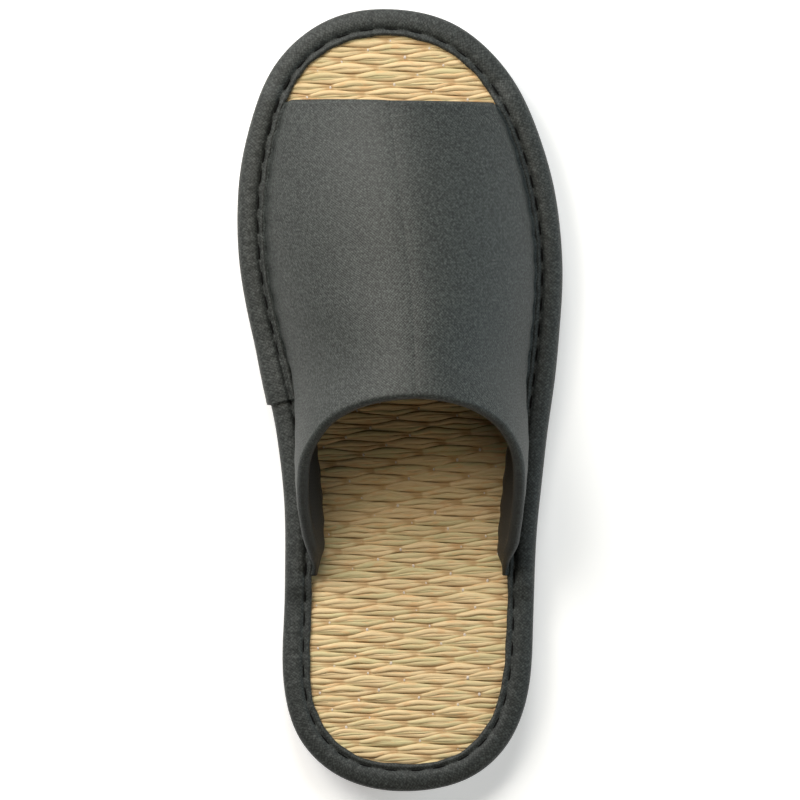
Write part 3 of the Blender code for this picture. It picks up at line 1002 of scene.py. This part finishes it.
stitch_line = curve + STITCH_INSET * inward
stitch_way = np.concatenate([[0.0], np.cumsum(np.linalg.norm(np.diff(stitch_line, axis=0), axis=1))])
stitch_count = int(round(stitch_way[-1] / STITCH_PITCH))
sewer = np.random.default_rng(seed=17)
stitch_at = (np.arange(stitch_count) + 0.5) * stitch_way[-1] / stitch_count
stitch_at += sewer.uniform(-STITCH_STRAY, STITCH_STRAY, stitch_count)
stitch_turns = np.interp(stitch_at, stitch_way, edge_turn)


def stitch_pull(turns):
    """1 under a stitch, 0 between stitches."""
    way = np.interp(turns, edge_turn, stitch_way)
    apart = np.abs(way[:, None] - stitch_at[None]).min(axis=1)
    return smoothstep((STITCH_LENGTH / 2 + DIMPLE_MARGIN - apart) / DIMPLE_RUN)


def wander(turns, waves):
    """A smooth wander round the closed edge, about -1 to 1, from whole waves with random starts."""
    starts = sewer.uniform(0.0, 2 * np.pi, len(waves))
    total = sum(np.sin(2 * np.pi * count * turns + start) for count, start in zip(waves, starts))
    return total / np.sqrt(len(waves))


print("stitches:", stitch_count)

# %% Stations round the edge
TAPE_STATIONS = 960
LAP_ALONG = -1.7
LAP_LENGTH = 24.0
LAP_THICK = 1.3
LAP_STEP = 0.0004
PUCKER_WAVES = (61, 97, 142, 205)
LIP_WAVES = (9, 17, 31, 58)
ROLL_WAVES = (5, 11, 19)

lap_end = inner_turn(LAP_ALONG)
lap_start = inner_turn(LAP_ALONG + LAP_LENGTH)
turns = (np.arange(TAPE_STATIONS) + 0.5) / TAPE_STATIONS
turns = np.sort(np.append(turns, [lap_end - LAP_STEP, lap_end + LAP_STEP]))
turns = np.append(turns, turns[0])
pull = stitch_pull(turns)
pucker = wander(turns, PUCKER_WAVES)
lip_wave = wander(turns, LIP_WAVES)
roll_wave = wander(turns, ROLL_WAVES)
lapped = np.where(turns < lap_end, smoothstep((turns - lap_start) / (lap_end - lap_start)), 0.0)

print("stations round the edge:", len(turns))

# %% Tape round the edge
TOP_SHARE = 0.9
STITCH_REACH = 0.55
LIP_FROM = 7.6
LIP_RUN = 1.6
CREST_INSET = 5.0
CREST_REACH = 1.6
SIDE_SHARE = 0.55
SIDE_REACH = 0.4
LIP_WANDER = 0.18
PUCKER_HEIGHT = 0.10
ROLL_HEIGHT = 0.12
PULL_DEPTH = 0.3
BAND_DEPTH = 0.3
LEAST_DEPTH = 0.05
INSIDE_SHIFT = 30.0


def tape_seat(band_share):
    """Height of what the tape's lip lies on, by the share of the band's flange there."""
    return BOARD_TOP + GAP + (FLANGE_TOP - FLANGE_LOW + GAP) * band_share


def hump(values, middle, reach):
    """1 at the middle, fading to 0 on both sides."""
    return np.exp(-(((values - middle) / reach) ** 2))


inset, share, crown, facing, groove = (fold_column(name) for name in TapeFold._fields[1:])
facing = np.radians(facing)
on_top = share > TOP_SHARE
near_stitch = hump(inset, STITCH_INSET, STITCH_REACH) * on_top
near_lip = smoothstep((inset - LIP_FROM) / LIP_RUN) * on_top
near_crest = hump(inset, CREST_INSET, CREST_REACH) * on_top
on_side = hump(share, SIDE_SHARE, SIDE_REACH)

low = TAPE_LOW + TAPE_THICK
beside_band = flange_share(edge_at(turns, TAPE_THICK)[:, 1])
top = tape_seat(beside_band)
face_inset = inset + np.outer(LIP_WANDER * lip_wave, near_lip)
depth = PULL_DEPTH * pull + BAND_DEPTH * beside_band + LEAST_DEPTH
thick = TAPE_THICK - groove - np.outer(depth, near_stitch)
thick = thick + np.outer(PUCKER_HEIGHT * pucker, near_lip + near_crest)
thick = thick + np.outer(ROLL_HEIGHT * roll_wave, on_side)
thick = thick + LAP_THICK * np.outer(lapped, np.clip(2 * share, 0.0, 1.0))
level = low + np.outer(top - low, share) + crown
outer_inset = face_inset - thick * np.cos(facing)
outer_level = level + thick * np.sin(facing)
loop_inset = np.concatenate([outer_inset, face_inset[:, ::-1], outer_inset[:, :1]], axis=1)
loop_level = np.concatenate([outer_level, level[:, ::-1], outer_level[:, :1]], axis=1)
plan = edge_at(np.repeat(turns[:, None], loop_inset.shape[1], axis=1), loop_inset)
tape_places = np.dstack([plan, loop_level + lift(plan[..., 1])])

section_way = np.cumsum(np.hypot(np.gradient(inset), np.gradient(low + share * (top.max() - low))))
inside_way = section_way[::-1] + INSIDE_SHIFT
section_way = np.concatenate([section_way, inside_way, section_way[:1] + 2 * INSIDE_SHIFT])
tape_way = np.interp(turns, edge_turn, edge_way)
tape_way[-1] += edge_way[-1]
tape_spots = np.dstack(np.meshgrid(tape_way, section_way, indexing="ij"))

tape_work = bmesh.new()
add_grid(tape_work, tape_places)
map_cloth(tape_work, tape_spots)
edge_tape = finish_piece(tape_work, "edge_tape", tape_linen)
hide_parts("binding")

# %% [markdown]
# ## Stitches
# One row of dark thread holds the lip down. Each stitch is a slim spindle that lies in its dimple and
# dips at both ends, made from a low sphere drawn out along the edge. They are all one mesh.

# %% Thread finish and stitches
THREAD_HALF = 0.34
STITCH_SINK = 0.70
TURN_STEP = 0.0005

thread, thread_shader = grained_finish(
    "dark_thread", roughness=0.9, grain_scale=2500.0, dark=(0.003, 0.003, 0.003), light=(0.010, 0.010, 0.010)
)
thread_shader.inputs["Specular IOR Level"].default_value = 0.1

stitch_work = bmesh.new()
stitch_halves = (STITCH_LENGTH / 2, THREAD_HALF, THREAD_HALF)
for turn in stitch_turns:
    spot = edge_at(turn, STITCH_INSET)
    ahead = edge_at(turn + TURN_STEP, STITCH_INSET) - edge_at(turn - TURN_STEP, STITCH_INSET)
    level = tape_seat(flange_share(spot[1])) + TAPE_THICK - STITCH_SINK + lift(spot[1])
    heading_turn = np.arctan2(ahead[1], ahead[0])
    add_bead(stitch_work, sides=8, rings=6, place=(*spot, level), turn=heading_turn, halves=stitch_halves)
finish_piece(stitch_work, "tape_stitches", thread, weld=False)

# %% [markdown]
# ## Padded band
# The band is two layers of linen with wadding between, about 4 mm thick, shaped as an arch over the foot.
# Its edges at toe and throat are soft rolls, and behind the throat it runs on as two low wings. The
# section at each place along the foot is an arch from the seam on one side to the seam on the other, so a
# grid of those arches, closed round both hems, gives the whole band. A cloth simulation could puff it up,
# but it would drift from the seams that hold it, so its soft shape is given directly.

# %% Arches of the band
WALL_THICK = 4.2
FOOT_THICK = 3.7
WALL_FULL_SHARE = 0.22
FLARE_FULL_SHARE = 0.24
TAIL_TAPER = 10.0
SEAM_INSET = 9.9
SEAM_STAND = 1.9
FLANGE_INSET = 4.2
FRONT_SLANT = 0.9

Arch = namedtuple("Arch", "place along crown middle fullness inner_flare outer_flare")
BAND_ARCHES = [
    Arch("wing end", -64.0, 64.0, 4.0, 4.0, 0.0, 0.0),
    Arch("wing tail", -50.0, 64.0, 5.0, 4.0, 3.0, 3.4),
    Arch("wing back", -37.0, 64.0, 6.0, 4.0, 5.2, 4.4),
    Arch("wing", -25.0, 64.0, 6.0, 3.6, 5.2, 4.4),
    Arch("throat corner", -12.0, 64.0, 6.0, 2.5, 3.8, 3.6),
    Arch("instep", 2.0, 64.0, 5.5, 1.85, 2.2, 1.8),
    Arch("ball", 36.0, 57.0, 4.0, 1.6, 0.2, 1.4),
    Arch("toes", 70.0, 50.0, 0.0, 1.5, 0.6, 1.4),
    Arch("front hem", 104.0, 39.0, -4.0, 1.45, 2.0, 2.2),
]

ThroatPoint = namedtuple("ThroatPoint", "place share along")
THROAT_LINE = [
    ThroatPoint("wing end", 0.0, WING_END),
    ThroatPoint("tail", 0.18, -50.5),
    ThroatPoint("low wing", 0.32, -41.0),
    ThroatPoint("wing", 0.44, -31.0),
    ThroatPoint("high wing", 0.57, -18.5),
    ThroatPoint("corner", 0.695, -8.0),
    ThroatPoint("shoulder", 0.82, -2.4),
    ThroatPoint("crown side", 0.945, 1.2),
    ThroatPoint("crown", 1.0, 2.2),
]


def read_smoothly(table, name, key, at):
    """One column of a table, as a smooth function of its key column."""
    knots = column_of(table, key)
    values = column_of(table, name)
    return hermite(knots, values, np.gradient(values, knots), at)


def arch_side(along, shares, inner):
    """Across and height of one side of the arches, by share of the way from the seam to the crown."""
    crown, middle, fullness, flare = (
        read_smoothly(BAND_ARCHES, name, "along", along)
        for name in ("crown", "middle", "fullness", "inner_flare" if inner else "outer_flare")
    )
    seam = across_at(along, SEAM_INSET, inner)
    half = seam - middle + np.sign(seam) * flare * smoothstep(shares / FLARE_FULL_SHARE)
    reach = (1.0 - shares**fullness) ** (1.0 / fullness)
    base = FLANGE_TOP + SEAM_STAND + lift(along)
    return np.stack([middle + half * reach, along, base + shares * (crown - base)], axis=-1)


print("arches:", len(BAND_ARCHES))

# %% [markdown]
# ## Creases of the band
# Stored flat, the band keeps a soft fold down its middle, which the wadding rounds off. The padding
# swells over the ball of the foot and dips behind each hem, and along both seams the stitches gather the
# cloth. These are given as small moves square to the cloth, each with its own middle, reach and
# height.

# %% Relief of the band
Swell = namedtuple("Swell", "place across along reach_across reach_along height")
SWELLS = [
    Swell("padding over the ball, inner", -30.0, 44.0, 12.0, 22.0, 0.4),
    Swell("padding over the ball, outer", 34.0, 40.0, 11.0, 24.0, 0.4),
    Swell("dip behind the front hem", -2.0, 90.0, 26.0, 7.0, -0.3),
    Swell("dip before the throat", 5.0, 14.0, 24.0, 8.0, -0.3),
]
RIDGE_ROUND = 0.2
GATHER_HEIGHT = 0.28
GATHER_REACH = 0.16
SEAM_STRETCH = 1.02


def ridge_rounding(along, shares):
    """How far the wadding rounds off the ridge, down from the plain arches."""
    crown, fullness = (read_smoothly(BAND_ARCHES, name, "along", along) for name in ("crown", "fullness"))
    reach = (1.0 - shares**fullness) ** (1.0 / fullness)
    rounded = np.hypot(reach, RIDGE_ROUND * (1.0 - reach))
    height = np.clip(1.0 - rounded**fullness, 0.0, 1.0) ** (1.0 / fullness)
    return (height - shares) * (crown - FLANGE_TOP - SEAM_STAND - lift(along))


def band_relief(across, along, shares, inner):
    """How far the cloth stands out from the plain arches."""
    relief = ridge_rounding(along, shares)
    for swell in SWELLS:
        far_across = (across - swell.across) / swell.reach_across
        far_along = (along - swell.along) / swell.reach_along
        relief = relief + swell.height * np.exp(-(far_across**2 + far_along**2))
    seam_way = SEAM_STRETCH * along
    seam_way = np.where(inner, edge_way[-1] - seam_way, seam_way)
    gather = np.sin(2 * np.pi * seam_way / STITCH_PITCH) * np.exp(-shares / GATHER_REACH)
    return relief + GATHER_HEIGHT * gather


print("swells:", len(SWELLS))

# %% Grid of the band
ARCH_STEPS = 66
ARCH_SPREAD = 0.8
LENGTHWISE_STEPS = 150
FLANGE_STEPS = 4
HEM_STEPS = 9
LINING_RELIEF = 0.6
FLANGE_FLAT = 0.45


def band_faces():
    """Outer and lining corner places of the band's wall, from the front hem to the throat hem."""
    rise = np.sin(np.linspace(0.0, np.pi / 2, ARCH_STEPS + 1)) ** ARCH_SPREAD
    shares = np.concatenate([rise, rise[-2::-1]])
    inner = np.arange(len(shares)) <= ARCH_STEPS
    front = FRONT_ALONG - FRONT_SLANT * smoothstep(np.linspace(0.0, 1.0, len(shares)))
    back = read_smoothly(THROAT_LINE, "along", "share", shares)
    along = front + np.linspace(0.0, 1.0, LENGTHWISE_STEPS + 1)[:, None] * (back - front)
    shares = np.broadcast_to(shares, along.shape)
    outer = np.where(inner[:, None], arch_side(along, shares, True), arch_side(along, shares, False))
    full = FOOT_THICK + (WALL_THICK - FOOT_THICK) * smoothstep(shares / WALL_FULL_SHARE)
    thin = FLANGE_TOP - FLANGE_LOW
    thick = thin + (full - thin) * smoothstep((along - WING_END) / TAIL_TAPER)
    slope = np.gradient(outer, axis=1)
    slope[..., 1] = 0.0
    slope /= np.linalg.norm(slope, axis=2)[..., None]
    out = np.stack([-slope[..., 2], np.zeros_like(along), slope[..., 0]], axis=-1)
    relief = band_relief(outer[..., 0], along, shares, inner)
    lining = outer + (LINING_RELIEF * relief - thick)[..., None] * out
    return outer + relief[..., None] * out, lining


def with_flange(outer, lining):
    """Add the flange that the tape holds down, on both sides of both faces."""
    faces = []
    for face, height in ((outer, FLANGE_TOP), (lining, FLANGE_LOW)):
        sides = []
        for inner, foot in ((True, face[:, :1]), (False, face[:, -1:])):
            along = foot[..., 1]
            tip = np.stack([across_at(along, FLANGE_INSET, inner), along, height + lift(along)], axis=-1)
            reach = np.linspace(0.0, 1.0, FLANGE_STEPS + 1)[None, :-1, None]
            drop = smoothstep((reach - FLANGE_FLAT) / (1.0 - FLANGE_FLAT))
            flat = tip + reach * (foot - tip)
            flat[..., 2] = (tip + drop * (foot - tip))[..., 2]
            sides.append(flat)
        faces.append(np.concatenate([sides[0], face, sides[1][:, ::-1]], axis=1))
    return faces


outer_face, lining_face = with_flange(*band_faces())
print("band corners:", outer_face.shape)

# %% Hems and the closed band
def hem_rows(outer, lining, outer_next, lining_next):
    """Rows of a rolled hem, from its nose back to the wall."""
    middle = (outer + lining) / 2
    half = (outer - lining) / 2
    nose = np.cross(np.gradient(middle, axis=0), half)
    nose *= np.linalg.norm(half, axis=1)[:, None] / np.linalg.norm(nose, axis=1)[:, None]
    away = middle - (outer_next + lining_next) / 2
    nose *= np.sign(np.sum(nose * away, axis=1))[:, None]
    turns = np.linspace(np.pi / 2, 0.0, HEM_STEPS + 1)[:-1]
    tips = [middle + np.sin(turn) * nose for turn in turns]
    return (
        np.array([tip + np.cos(turn) * half for tip, turn in zip(tips, turns)]),
        np.array([tip - np.cos(turn) * half for tip, turn in zip(tips, turns)]),
    )


# Share of painted shade at the nose of the throat hem, between the shaded lining and the outer cloth.
HEM_PAINTED_SHADE = 0.5

front_hem = hem_rows(outer_face[0], lining_face[0], outer_face[1], lining_face[1])
throat_hem = hem_rows(outer_face[-1], lining_face[-1], outer_face[-2], lining_face[-2])
outer_all = np.concatenate([front_hem[0], outer_face, throat_hem[0][::-1]])
lining_all = np.concatenate([front_hem[1], lining_face, throat_hem[1][::-1]])

middle_column = outer_all.shape[1] // 2
column_steps = np.linalg.norm(np.diff(outer_all, axis=1, prepend=outer_all[:, :1]), axis=2)
cloth_across = np.cumsum(column_steps, axis=1)
cloth_across -= cloth_across[:, middle_column, None]
row_steps = np.linalg.norm(np.diff(outer_all, axis=0, prepend=outer_all[:1]), axis=2)
cloth_along = FRONT_ALONG - np.cumsum(row_steps, axis=0)
band_spots = np.dstack([cloth_across, cloth_along])
band_places = np.concatenate([outer_all, lining_all[:, ::-1], outer_all[:, :1]], axis=1)
band_spots = np.concatenate([band_spots, band_spots[:, ::-1], band_spots[:, :1]], axis=1)

# Share of painted shade at each corner: full on the lining, none outside, fading round both hems.
to_nose = np.linspace(1.0, 0.0, HEM_STEPS + 1)[:-1]
wall_rows = LENGTHWISE_STEPS + 1
outer_painted_shade = np.concatenate([np.zeros(HEM_STEPS + wall_rows), HEM_PAINTED_SHADE * to_nose[::-1]])
inner_painted_shade = np.concatenate([1.0 - to_nose, np.ones(wall_rows), 1.0 - HEM_PAINTED_SHADE * to_nose[::-1]])
face_columns = [outer_all.shape[1], lining_all.shape[1], 1]
band_painted_shade = np.repeat([outer_painted_shade, inner_painted_shade, outer_painted_shade], face_columns, axis=0)

band_work = bmesh.new()
lining_shade_layer = band_work.verts.layers.float.new("lining_painted_shade")
for corner, share in zip(add_grid(band_work, band_places), band_painted_shade.T.ravel()):
    corner[lining_shade_layer] = share
map_cloth(band_work, band_spots)
padded_band = finish_piece(band_work, "padded_band", band_linen)
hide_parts("upper")
